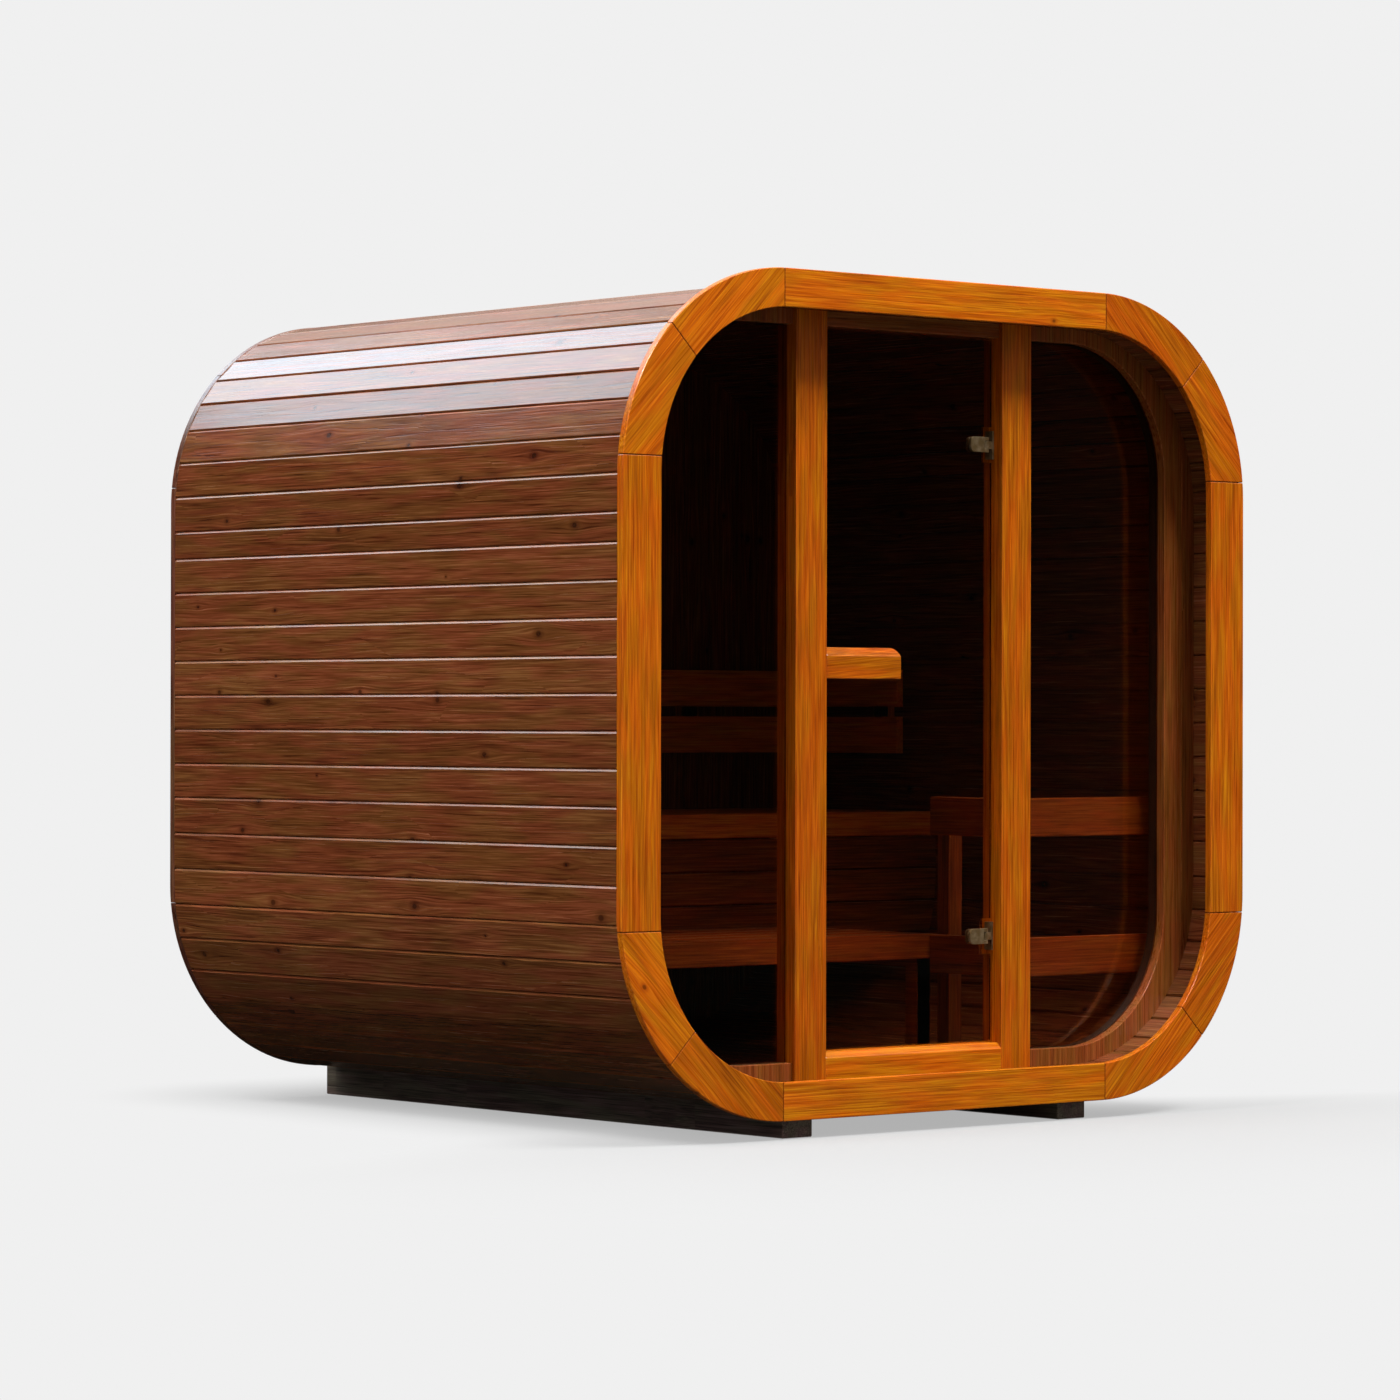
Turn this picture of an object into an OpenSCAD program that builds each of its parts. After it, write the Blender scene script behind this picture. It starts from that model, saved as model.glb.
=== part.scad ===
// Cube-shaped outdoor sauna: a shell of horizontal staves with rounded corners, a wooden
// ring on each end, a recessed glazed front with a glass door, and benches inside.
// Millimetres. +Z is up and the front faces -Y. The origin is on the ground, at the middle
// of the sauna's footprint.

/* [Shell] */
// Width over the side walls
body_w = 2060; // [1716:1:2472]
// Height of the shell, without the runners
body_h = 1943; // [1620:1:2331]
// Depth over both end rings
body_d = 1830; // [1525:1:2196]
// Outer radius of the four rounded corners
corner_r = 485; // [432:1:582]
// Thickness of the staves that make the walls, roof and floor
stave_t = 45; // [38:1:54]
// Height of the two runners under the shell
runner_h = 81; // [68:1:97]
// Width of a runner
runner_w = 94; // [78:1:112]
// Distance from the front ring's face back to the runners' front ends
runner_setback = 40; // [33:1:48]
// How far the runners stick out behind the rear ring
runner_over = 40; // [33:1:48]
// Distance from a runner to where the floor starts to curve up
runner_inset = 43; // [36:1:51]

/* [End rings] */
// Thickness of a ring, front to back
ring_t = 20; // [16:1:24]
// How far the front ring stands past the shell's roof and underside
ring_over = 36; // [30:1:43]
// Outer radius of the front ring's corners
ring_corner_r = 505; // [450:1:520]
// Width of the ring's upright members
ring_side_w = 118; // [98:1:141]
// Width of the ring's top and bottom members
ring_top_w = 92; // [76:1:110]
// Seam between neighbouring ring members
ring_seam = 1; // [0.8:0.1:1.2]
// How far the top and bottom members run past the start of the corner
ring_top_over = 9; // [8:1:10]
// How far the upright members run past the start of the corner
ring_side_over = 47; // [39:1:56]

/* [Front wall] */
// Distance from the ring's front face back to the front frame
recess = 132; // [110:1:158]
// Thickness of the front frame
frame_t = 60; // [50:1:72]
// Width of the front frame along the side walls
frame_side_w = 108; // [90:1:130]
// Width of the front frame under the roof
frame_top_w = 37; // [31:1:44]
// Width of the front frame above the floor
frame_bottom_w = 44; // [37:1:52]
// Width of the two door posts
post_w = 100; // [83:1:120]
// How far the posts and the sill stand out from the front frame
post_proud = 11; // [9:1:13]
// Clear width between the door posts
doorway_w = 583; // [486:1:700]
// Height of the sill above the shell's underside
sill_h = 111; // [93:1:133]
// Bevel along the front edge of the sill's top
sill_bevel = 14; // [12:1:16]
// Thickness of all the glass
glass_t = 8; // [7:1:9]
// Distance from the front frame's face back to the fixed glass
glass_setback = 26; // [22:1:31]
// Depth of the grooves that hold the fixed glass
groove_depth = 10; // [8:1:12]
// Play of the fixed glass in its grooves
groove_play = 0.5; // [0.4:0.1:0.6]

/* [Door] */
// Distance from the posts' front face back to the door glass
door_setback = 31; // [26:1:37]
// Gap between the door's free edge and its post
door_free_gap = 6; // [5:1:7]
// Gap between the door's hinge edge and its post
door_hinge_gap = 8; // [7:1:9]
// Gap over and under the door
door_end_gap = 6; // [5:1:7]
// Distance from the hinge axis to the hinge post
axis_gap = 24; // [20:1:28]
// Distance from the door's top edge to the upper hinge's middle
hinge_down = 259; // [216:1:310]
// Distance from the door's bottom edge to the lower hinge's middle
hinge_up = 258; // [215:1:309]
// Length of a hinge clamp along the glass, up to the axis
clamp_len = 60; // [50:1:72]
// Height of a hinge clamp
clamp_h = 38; // [32:1:45]
// Rounding of a hinge clamp's two far corners
clamp_round = 12; // [10:1:14]
// Thickness of each clamp jaw
clamp_jaw = 8; // [7:1:9]
// Radius of the hinge knuckles
knuckle_r = 8; // [7:0.5:9]
// Radius of the hinge pin
hinge_pin_r = 3; // [2.5:0.1:3.6]
// Radial play of the pin in the fixed knuckle
pin_play = 0.05; // [0.04:0.01:0.06]
// Height of a hinge's wall plate
plate_h = 70; // [59:1:84]
// Width of a wall plate, front to back
plate_w = 26; // [22:1:31]
// Distance of a wall plate's front edge ahead of the hinge axis
plate_lead = 5; // [5:0.5:6]
// Thickness of a wall plate
plate_t = 6; // [5:0.5:7]
// Height of the glass cut-out at a hinge
notch_h = 88; // [78:1:105]
// Length of the handle block
handle_len = 243; // [203:1:292]
// Height of the handle block
handle_h = 76; // [63:1:91]
// Depth of the handle block
handle_t = 25; // [21:1:30]
// Height of the handle's underside above the shell's underside
handle_z = 1011; // [843:1:1213]
// Rounding of the handle's upper outer corner
handle_round = 16; // [13:1:19]
// Bevel along the handle's upper front edge
handle_bevel = 20; // [17:1:24]

/* [Back wall] */
// Distance from the rear ring's face to the back wall
back_recess = 40; // [33:1:48]
// Thickness of the back wall
back_t = 45; // [38:1:54]

/* [Benches] */
// Depth of the upper bench
upper_d = 645; // [538:1:774]
// Height of the upper bench's top above the shell's underside
upper_z = 664; // [554:1:796]
// Free floor between the front wall and the lower bench
front_floor = 343; // [286:1:412]
// Height of the lower bench's top above the shell's underside
lower_z = 364; // [304:1:436]
// Thickness of the seat boards
seat_t = 26; // [22:1:31]
// Width of a seat board
seat_w = 90; // [75:1:108]
// Smallest gap between seat boards
seat_gap = 10; // [8:1:12]
// Height of the fascia along a bench's front edge
fascia_h = 63; // [53:1:75]
// Thickness of fascias and other bench boards
board_t = 26; // [22:1:31]
// Height of a board below the upper bench
skirt_h = 82; // [68:1:98]
// Gap between the boards below the upper bench
skirt_gap = 5; // [4:1:6]
// Number of boards below the upper bench
skirt_count = 3; // [2:1:3]
// Width of the bench bearers and of the legs and guard posts
bearer_w = 45; // [38:1:54]
// Height of the bench bearers
bearer_h = 60; // [50:1:72]
// Gap between the seat boards and the walls
bench_play = 5; // [4:1:6]
// How far the boards below the upper bench stay behind its fascia
skirt_reveal = 6; // [5:1:7]
// Distance from the lower bench's left legs to where the floor starts to curve up
leg_inset = 60; // [50:1:72]

/* [Backrests] */
// Height of a backrest board
rest_h = 100; // [83:1:120]
// Gap between the two backrest boards
rest_gap = 28; // [23:1:34]
// Height of the backrest's lower edge above the shell's underside
rest_z = 821; // [765:1:985]
// Thickness of a backrest board
rest_t = 22; // [18:1:26]
// Thickness of the battens behind the backrest boards
batten_t = 25; // [21:1:30]
// Width of the battens behind the backrest boards
batten_w = 60; // [50:1:72]
// Length of the side backrest
side_rest_len = 480; // [400:1:576]

/* [Stove guard] */
// Width of the fenced corner, from the side wall
guard_w = 555; // [463:1:666]
// Distance from the front wall to the guard's front rails
guard_gap = 38; // [32:1:46]
// Height of a guard rail
rail_h = 98; // [82:1:117]
// Thickness of a guard rail
rail_t = 26; // [22:1:31]
// Height of the upper rail's underside above the shell's underside
rail_high_z = 617; // [515:1:740]
// Height of the lower rail's underside above the shell's underside
rail_low_z = 264; // [220:1:316]

/* [Hidden] */
$fn = 96;
far = 4000;
front_y = -(body_d + runner_over) / 2;
back_y = front_y + body_d;
half_w = body_w / 2;
floor_z = runner_h + stave_t;
roof_z = runner_h + body_h - stave_t;
middle_z = runner_h + body_h / 2;
room_half = half_w - stave_t;
room_r = corner_r - stave_t;
flat_half = half_w - corner_r;
low_turn = runner_h + corner_r;
high_turn = runner_h + body_h - corner_r;
frame_y = front_y + recess;
frame_back = frame_y + frame_t;
post_y = frame_y - post_proud;
opening_half = room_half - frame_side_w;
opening_low = floor_z + frame_bottom_w;
opening_high = roof_z - frame_top_w;
opening_r = room_r - frame_side_w;
glass_y = frame_y + glass_setback;
doorway_half = doorway_w / 2;
post_out = doorway_half + post_w;
sill_top = runner_h + sill_h;
door_y = post_y + door_setback;
door_mid = door_y + glass_t / 2;
door_left = -doorway_half + door_free_gap;
door_right = doorway_half - door_hinge_gap;
door_low = sill_top + door_end_gap;
door_high = opening_high - door_end_gap;
axis_x = doorway_half - axis_gap;
upper_hinge_z = door_high - hinge_down;
lower_hinge_z = door_low + hinge_up;
clamp_back = knuckle_r + 6;
clamp_bridge = 5;
clamp_half = glass_t / 2 + clamp_jaw;
notch_x = axis_x - clamp_back - clamp_bridge;
knuckle_half = clamp_h / 4;
knuckle_gap = 0.5;
web_half = knuckle_r * 0.6;
wall_out = back_y - back_recess;
room_back = wall_out - back_t;
upper_front = room_back - upper_d;
lower_front = frame_back + front_floor;
upper_top = runner_h + upper_z;
lower_top = runner_h + lower_z;
bearer_low = upper_top - seat_t - bearer_h;
skirt_top = upper_top - fascia_h - skirt_gap;
skirt_low = skirt_top - skirt_count * (skirt_h + skirt_gap) + skirt_gap;
skirt_y = upper_front + skirt_reveal;
rest_low = runner_h + rest_z;
rest_high = rest_low + 2 * rest_h + rest_gap;
rest_y = room_back - batten_t - rest_t;
side_rest_back = rest_y - bench_play;
guard_x = room_half - guard_w;
guard_y = frame_back + guard_gap;
lower_right = guard_x + rail_t;
lower_back = upper_front - bench_play;
lower_bearer_low = lower_top - seat_t - bearer_h;
guard_top = runner_h + rail_high_z + rail_h;

// Half of the room's width at a height in its lower half.
function room_reach(z) = flat_half + sqrt(room_r ^ 2 - max(low_turn - z, 0) ^ 2);

// A block from its two opposite corners.
module block(low, high) {
    translate(low) cube([for (i = [0:2]) high[i] - low[i]]);
}

// A bar of round section along Y.
module bar_y(x, z, r, y0, y1) {
    translate([x, y0, z]) rotate([-90, 0, 0]) cylinder(r = r, h = y1 - y0);
}

// A slab with four rounded corners, standing across the shell.
module slab(half, z0, z1, r, y0, y1) {
    block([-half + r, y0, z0], [half - r, y1, z1]);
    block([-half, y0, z0 + r], [half, y1, z1 - r]);
    for (x = [-half + r, half - r], z = [z0 + r, z1 - r])
        bar_y(x, z, r, y0, y1);
}

module room_slab(y0, y1, play = 0) {
    slab(room_half - play, floor_z + play, roof_z - play, room_r - play, y0, y1);
}

// Opening inside the front frame; grow widens it on all sides.
module opening_slab(y0, y1, grow = 0) {
    slab(opening_half + grow, opening_low - grow, opening_high + grow,
        opening_r + grow, y0, y1);
}

// A ring of outer corner radius r, whose outline stands past the shell by over at the top
// and bottom.
module ring(y0, over, r) {
    z0 = runner_h - over;
    z1 = runner_h + body_h + over;
    inner_r = r - (ring_side_w + ring_top_w) / 2;
    difference() {
        slab(half_w, z0, z1, r, y0, y0 + ring_t);
        slab(half_w - ring_side_w, z0 + ring_top_w, z1 - ring_top_w, inner_r,
            y0 - 1, y0 + ring_t + 1);
    }
}

// A prism through the whole depth, from points in the XZ plane.
module prism(points) {
    translate([0, far, 0]) rotate([90, 0, 0]) linear_extrude(2 * far) polygon(points);
}

// The part of a ring that lies between the two seams beside a straight member.
module ring_top_member(y0, over, r) {
    joint_x = half_w - r + ring_top_over - ring_seam / 2;
    intersection() {
        ring(y0, over, r);
        block([-joint_x, -far, high_turn], [joint_x, far, far]);
    }
}

module ring_side_member(y0, over, r) {
    reach = body_h / 2 + over - r + ring_side_over - ring_seam / 2;
    intersection() {
        ring(y0, over, r);
        block([flat_half, -far, middle_z - reach], [far, far, middle_z + reach]);
    }
}

// Corner pieces on the upper right, split on the corner's diagonal.
module ring_corner_upper(y0, over, r) {
    s = ring_seam / 2;
    x0 = half_w - r + ring_top_over + s;
    reach = 2 * r;
    rise = runner_h + body_h + over - half_w + s * sqrt(2);
    intersection() {
        ring(y0, over, r);
        prism([[x0, x0 + rise], [x0 + reach, x0 + reach + rise], [x0, x0 + reach + rise]]);
    }
}

module ring_corner_lower(y0, over, r) {
    s = ring_seam / 2;
    z0 = runner_h + body_h + over - r + ring_side_over + s;
    reach = 2 * r;
    shift = half_w - runner_h - body_h - over + s * sqrt(2);
    intersection() {
        ring(y0, over, r);
        prism([[z0 + shift, z0], [z0 + reach + shift, z0], [z0 + reach + shift, z0 + reach]]);
    }
}

// Turns a shape on the upper right into the one on another corner: side is 1 or -1 for
// right or left, up is true or false.
module place(side, up) {
    scale_x = side > 0 ? [0, 0, 0] : [1, 0, 0];
    scale_z = up ? [0, 0, 0] : [0, 0, 1];
    translate([0, 0, middle_z]) mirror(scale_x) mirror(scale_z) translate([0, 0, -middle_z])
        children();
}

module ring_corner(side, up) {
    color("peru") place(side, up) {
        ring_corner_upper(front_y, ring_over, ring_corner_r);
        ring_corner_lower(front_y, ring_over, ring_corner_r);
    }
}

module rear_ring_beam(up) {
    color("saddlebrown") {
        place(1, up) ring_top_member(back_y - ring_t, 0, corner_r);
        for (side = [-1, 1])
            place(side, up) ring_corner_upper(back_y - ring_t, 0, corner_r);
    }
}

module rear_ring_upright(side) {
    color("saddlebrown") {
        place(side, true) ring_side_member(back_y - ring_t, 0, corner_r);
        for (up = [true, false])
            place(side, up) ring_corner_lower(back_y - ring_t, 0, corner_r);
    }
}

module ring_beam(up) {
    color("peru") place(1, up) ring_top_member(front_y, ring_over, ring_corner_r);
}
module ring_upright(side) {
    color("peru") place(side, true) ring_side_member(front_y, ring_over, ring_corner_r);
}

module runner(side) {
    x1 = flat_half - runner_inset;
    color([0.22, 0.12, 0.09]) place(side, true)
        block([x1 - runner_w, front_y + runner_setback, 0],
            [x1, back_y + runner_over, runner_h]);
}

// The shell's staves run between the two end rings.
module side_wall(side) {
    color("sienna") place(side, true)
        block([room_half, front_y + ring_t, low_turn], [half_w, back_y - ring_t, high_turn]);
}

module flat_deck(z0, z1) {
    color("sienna")
        block([-flat_half, front_y + ring_t, z0], [flat_half, back_y - ring_t, z1]);
}

module roof() { flat_deck(roof_z, runner_h + body_h); }
module floor() { flat_deck(runner_h, floor_z); }

module shell_corner(side, up) {
    color("sienna") place(side, up) intersection() {
        difference() {
            bar_y(flat_half, high_turn, corner_r, front_y + ring_t, back_y - ring_t);
            bar_y(flat_half, high_turn, room_r, front_y, back_y);
        }
        block([flat_half, -far, high_turn], [far, far, far]);
    }
}

module back_wall() { color("sienna") room_slab(room_back, wall_out); }

// The fixed glass sits in a groove all round: in the frame on three sides, in a post on one.
module glass_groove() {
    opening_slab(glass_y - groove_play, glass_y + glass_t + groove_play, groove_depth);
}

module front_frame(side) {
    color("chocolate") difference() {
        intersection() {
            room_slab(frame_y, frame_back);
            place(side, true) block([post_out, -far, 0], [far, far, far]);
        }
        opening_slab(frame_y - 1, frame_back + 1);
        glass_groove();
    }
}

module post(side) {
    color("peru") difference() {
        intersection() {
            place(side, true)
                block([doorway_half, post_y, floor_z], [post_out, frame_back, roof_z]);
            room_slab(post_y, frame_back);
        }
        intersection() {
            glass_groove();
            place(side, true) block([post_out - groove_depth, -far, 0], [far, far, far]);
        }
    }
}

module door_head() {
    color("chocolate") block([-doorway_half, frame_y, opening_high],
        [doorway_half, frame_back, roof_z]);
}

// A bar along X with the outline of a block whose upper front edge is bevelled.
module bevelled_bar(x0, x1, y0, y1, z0, z1, bevel) {
    translate([x0, 0, 0]) rotate([90, 0, 90]) linear_extrude(x1 - x0)
        polygon([[y0, z0], [y1, z0], [y1, z1], [y0 + bevel, z1], [y0, z1 - bevel]]);
}

module door_sill() {
    color("peru") bevelled_bar(-doorway_half, doorway_half, post_y, frame_back,
        floor_z, sill_top, sill_bevel);
}

module fixed_glass(side) {
    color([0.2, 0.16, 0.14, 0.5]) translate([0, 0, -groove_play]) intersection() {
        opening_slab(glass_y, glass_y + glass_t, groove_depth - groove_play);
        place(side, true)
            block([post_out - groove_depth + groove_play, -far, 0], [far, far, far]);
    }
}

module hinge_plate(z) {
    color("silver") translate([0, door_mid, z]) difference() {
        union() {
            block([doorway_half - plate_t, -plate_lead, -plate_h / 2],
                [doorway_half, plate_w - plate_lead, plate_h / 2]);
            block([axis_x, -web_half, -knuckle_half],
                [doorway_half - plate_t, web_half, knuckle_half]);
            translate([axis_x, 0, -knuckle_half]) cylinder(r = knuckle_r, h = 2 * knuckle_half);
        }
        translate([axis_x, 0, -clamp_h])
            cylinder(r = hinge_pin_r + pin_play, h = 2 * clamp_h);
    }
}

// Two jaws on the glass, joined beside it, with lugs over and under the fixed knuckle.
module hinge_clamp(z) {
    half_h = clamp_h / 2;
    jaw_x0 = axis_x - clamp_len;
    jaw_x1 = axis_x - clamp_back;
    lug_z = knuckle_half + knuckle_gap;
    color("silver") translate([0, door_mid, z]) {
        difference() {
            union() {
                block([jaw_x0 + clamp_round, -clamp_half, -half_h], [jaw_x1, clamp_half, half_h]);
                block([jaw_x0, -clamp_half, clamp_round - half_h],
                    [jaw_x1, clamp_half, half_h - clamp_round]);
                for (corner_z = [clamp_round - half_h, half_h - clamp_round])
                    bar_y(jaw_x0 + clamp_round, corner_z, clamp_round, -clamp_half, clamp_half);
            }
            block([jaw_x0 - 1, -glass_t / 2, -clamp_h], [notch_x, glass_t / 2, clamp_h]);
        }
        for (z0 = [-half_h, lug_z]) {
            block([jaw_x1, -knuckle_r, z0], [axis_x, knuckle_r, z0 + half_h - lug_z]);
            translate([axis_x, 0, z0]) cylinder(r = knuckle_r, h = half_h - lug_z);
        }
        translate([axis_x, 0, -half_h]) cylinder(r = hinge_pin_r, h = clamp_h);
    }
}

module door_glass() {
    color([0.2, 0.16, 0.14, 0.5]) difference() {
        block([door_left, door_y, door_low], [door_right, door_y + glass_t, door_high]);
        for (z = [upper_hinge_z, lower_hinge_z])
            block([notch_x, door_y - 1, z - notch_h / 2],
                [door_right + 1, door_y + glass_t + 1, z + notch_h / 2]);
    }
}

module door_handle() {
    z0 = runner_h + handle_z;
    z1 = z0 + handle_h;
    x1 = door_left + handle_len;
    color("peru") intersection() {
        bevelled_bar(door_left, x1, door_y - handle_t, door_y, z0, z1, handle_bevel);
        union() {
            block([door_left, -far, z0], [x1, far, z1 - handle_round]);
            block([door_left, -far, z0], [x1 - handle_round, far, z1]);
            bar_y(x1 - handle_round, z1 - handle_round, handle_round, -far, far);
        }
    }
}

// Seat boards along X, spread over the depth from y0 to y1.
module seat_boards(x0, x1, y0, y1, top) {
    count = floor((y1 - y0 + seat_gap) / (seat_w + seat_gap));
    pitch = (y1 - y0 - seat_w) / (count - 1);
    for (i = [0:count - 1])
        block([x0, y0 + i * pitch, top - seat_t], [x1, y0 + i * pitch + seat_w, top]);
}

// A fascia along the front edge, with bearers behind it that carry the seat boards.
module bench_frame(x0, x1, bearers, y0, y1, top) {
    block([x0, y0, top - fascia_h], [x1, y0 + board_t, top]);
    for (x = bearers)
        block([x, y0 + board_t, top - seat_t - bearer_h], [x + bearer_w, y1, top - seat_t]);
}

module inside_room(play = 0) {
    intersection() {
        children();
        room_slab(frame_back, room_back - play, play);
    }
}

module upper_bench_seat() {
    color("peru") inside_room(bench_play) seat_boards(-room_half, room_half,
        upper_front + board_t, room_back - bench_play, upper_top);
}

module upper_bench_frame() {
    reach = room_reach(bearer_low);
    bearers = [-reach, -bearer_w / 2, reach - bearer_w];
    color("peru") inside_room()
        bench_frame(-room_half, room_half, bearers, upper_front, room_back, upper_top);
}

// Boards that close the front of the upper bench, on two battens under its bearers' level.
module bench_skirt() {
    back = upper_front + board_t;
    color("peru") inside_room() {
        for (i = [0:skirt_count - 1]) {
            z1 = skirt_top - i * (skirt_h + skirt_gap);
            block([-room_half, skirt_y, z1 - skirt_h], [room_half, back, z1]);
        }
        for (x = [-flat_half, flat_half - batten_w])
            block([x, back, skirt_low], [x + batten_w, back + batten_t, bearer_low]);
    }
}

module lower_bench_seat() {
    color("peru") inside_room(bench_play) seat_boards(-room_half, lower_right,
        lower_front + board_t, lower_back, lower_top);
}

module lower_bench_frame() {
    left_leg = -flat_half + leg_inset;
    right_leg = lower_right - bearer_w;
    bearers = [-room_reach(lower_bearer_low), left_leg, right_leg];
    color("peru") inside_room() {
        bench_frame(-room_half, lower_right, bearers, lower_front, lower_back, lower_top);
        for (x = [left_leg, right_leg], y = [lower_front + board_t, lower_back - bearer_w])
            block([x, y, floor_z], [x + bearer_w, y + bearer_w, lower_bearer_low]);
    }
}

// Two boards, one over the other, on battens; drawn along X with its back at y = 0.
module backrest(length, inset) {
    for (z = [rest_low, rest_low + rest_h + rest_gap])
        block([0, -batten_t - rest_t, z], [length, -batten_t, z + rest_h]);
    for (x = [inset, length - inset - batten_w])
        block([x, -batten_t, rest_low], [x + batten_w, 0, rest_high]);
}

module backrest_rear() {
    length = 2 * (room_half - bench_play);
    color("peru") translate([-length / 2, room_back, 0]) backrest(length, length / 6);
}

module backrest_right() {
    color("peru") translate([room_half, side_rest_back, 0]) rotate([0, 0, -90])
        backrest(side_rest_len, batten_w);
}

// Guard rails round the stove corner: two along the front wall, two along the side.
module guard_front() {
    color("peru") intersection() {
        for (z = [rail_low_z, rail_high_z])
            block([guard_x, guard_y, runner_h + z],
                [room_half, guard_y + rail_t, runner_h + z + rail_h]);
        room_slab(frame_back, room_back);
    }
}

module guard_side() {
    color("peru") for (z = [rail_low_z, rail_high_z])
        block([guard_x, guard_y + rail_t, runner_h + z],
            [guard_x + rail_t, lower_front, runner_h + z + rail_h]);
}

// Two posts on the side rails' stove side, one behind the front rails, one by the bench.
module guard_posts() {
    color("peru") inside_room()
        for (y = [guard_y + rail_t, lower_front - bearer_w])
            block([lower_right, y, floor_z],
                [lower_right + bearer_w, y + bearer_w, guard_top]);
}

runner(-1);  // runner_left
runner(1);  // runner_right
side_wall(-1);  // wall_left
side_wall(1);  // wall_right
roof();
floor();
shell_corner(-1, true);  // corner_top_left
shell_corner(1, true);  // corner_top_right
shell_corner(-1, false);  // corner_bottom_left
shell_corner(1, false);  // corner_bottom_right
ring_beam(true);  // ring_top
ring_beam(false);  // ring_bottom
ring_upright(-1);  // ring_left
ring_upright(1);  // ring_right
ring_corner(-1, true);  // ring_corner_top_left
ring_corner(1, true);  // ring_corner_top_right
ring_corner(-1, false);  // ring_corner_bottom_left
ring_corner(1, false);  // ring_corner_bottom_right
rear_ring_beam(true);  // rear_ring_top
rear_ring_beam(false);  // rear_ring_bottom
rear_ring_upright(-1);  // rear_ring_left
rear_ring_upright(1);  // rear_ring_right
back_wall();
front_frame(-1);  // frame_left
front_frame(1);  // frame_right
post(-1);  // post_left
post(1);  // post_right
door_head();
door_sill();
fixed_glass(-1);  // glass_left
fixed_glass(1);  // glass_right
hinge_plate(upper_hinge_z);  // hinge_plate_upper
hinge_plate(lower_hinge_z);  // hinge_plate_lower
door_glass();
door_handle();
hinge_clamp(upper_hinge_z);  // hinge_clamp_upper
hinge_clamp(lower_hinge_z);  // hinge_clamp_lower
upper_bench_seat();
upper_bench_frame();
bench_skirt();
lower_bench_seat();
lower_bench_frame();
backrest_rear();
backrest_right();
guard_front();
guard_side();
guard_posts();
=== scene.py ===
"""The looks of the cube sauna: staves, boards, oiled wood, tinted glass and a pale studio.

Everything is in metres in the CAD frame: +Z up, the glazed front faces -Y. Places come from
the CAD nodes' boxes. Wooden pieces carry attributes that their materials read: "grain", a
point's place in its board's own axes (X along the fibres), "tone", the board's shade, and on
the front ring "seam", which marks the ends of its members.
"""
import math
import random

import bmesh
import bpy
import numpy as np
from mathutils import Matrix, Vector


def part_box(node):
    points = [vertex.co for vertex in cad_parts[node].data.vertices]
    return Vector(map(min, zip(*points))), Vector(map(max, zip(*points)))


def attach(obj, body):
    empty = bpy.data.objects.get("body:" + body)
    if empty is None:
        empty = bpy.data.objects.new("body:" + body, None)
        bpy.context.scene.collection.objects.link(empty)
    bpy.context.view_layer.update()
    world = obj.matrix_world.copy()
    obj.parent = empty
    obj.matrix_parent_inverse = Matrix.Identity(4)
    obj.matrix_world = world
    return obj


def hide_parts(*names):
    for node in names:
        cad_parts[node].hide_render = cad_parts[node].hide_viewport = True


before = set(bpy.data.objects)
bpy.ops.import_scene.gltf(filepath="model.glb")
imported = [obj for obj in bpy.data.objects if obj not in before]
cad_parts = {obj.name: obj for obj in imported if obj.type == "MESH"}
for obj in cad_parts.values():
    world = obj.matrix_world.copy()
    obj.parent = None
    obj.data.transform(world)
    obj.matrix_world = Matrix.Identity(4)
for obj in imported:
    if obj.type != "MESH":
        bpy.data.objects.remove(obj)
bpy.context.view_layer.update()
chance = random.Random(7)

# Camera: where it stands, which way it looks and its focal length on a 36 mm sensor.
CAMERA_PLACE = Vector((-8.294, -9.768, 0.988))
CAMERA_AZIMUTH = -40.33
CAMERA_PITCH = 0.247
CAMERA_ROLL = 0.110
CAMERA_LENS = 128.18
CAMERA_RANGE = 200

# Staves down each side of the shell, from the roof's flat to the floor's: (count, width).
LEFT_COURSES = ((7, 0.0802), (3, 0.0893), (1, 0.0699), (7, 0.0872), (3, 0.0913), (8, 0.0891))
RIGHT_COURSES = ((7, 0.0802), (1, 0.0711), (1, 0.084), (2, 0.0809), (7, 0.0872), (1, 0.069),
                 (1, 0.061), (3, 0.0908), (7, 0.0865))
FLAT_COURSES = 12

# A stave's section. Its tongue and groove lie between two shares of its thickness.
CHAMFER = 0.005
CHAMFER_DEPTH = 0.0033
LOWER_CHAMFER = 0.0028
INNER_CHAMFER = 0.0036
JOINT_GAP = 0.0008
TONGUE = 0.007
TONGUE_PLAY = 0.0025
TONGUE_OUTER, TONGUE_INNER = 0.41, 0.59
GROOVE_OUTER, GROOVE_INNER = 0.38, 0.62
DEEPEST_SINK = 0.0007

# Upright boards of the back wall, each with its rounded ends in straight steps.
BACK_BOARD = 0.09
BACK_BOARD_STEPS = 8
BACK_BOARD_CHAMFER = 0.0036
SHORTEST_UPRIGHT = 0.25

# Distances from the middle at which the boards of the frames beside the door are joined.
FRAME_JOINTS = (0.73, 0.94)

# Widths of rounded edges.
WOOD_ROUND = 0.0016
RING_ROUND = 0.002
SOFT_ROUND = 0.003
CLAMP_ROUND = 0.0008
PLATE_ROUND = 0.0006
PANE_ROUND = 0.0008
ROUND_SEGMENTS = 2
ROUNDED_FROM = math.radians(25)
SHARP_FROM = math.radians(18)

# Tolerances for shapes that come from the frame: three distances and an angle.
WELD = 1e-5
ON_PLANE = 1e-6
SAME_PLACE = 1e-4
STILL_FLAT = 0.004

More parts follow.
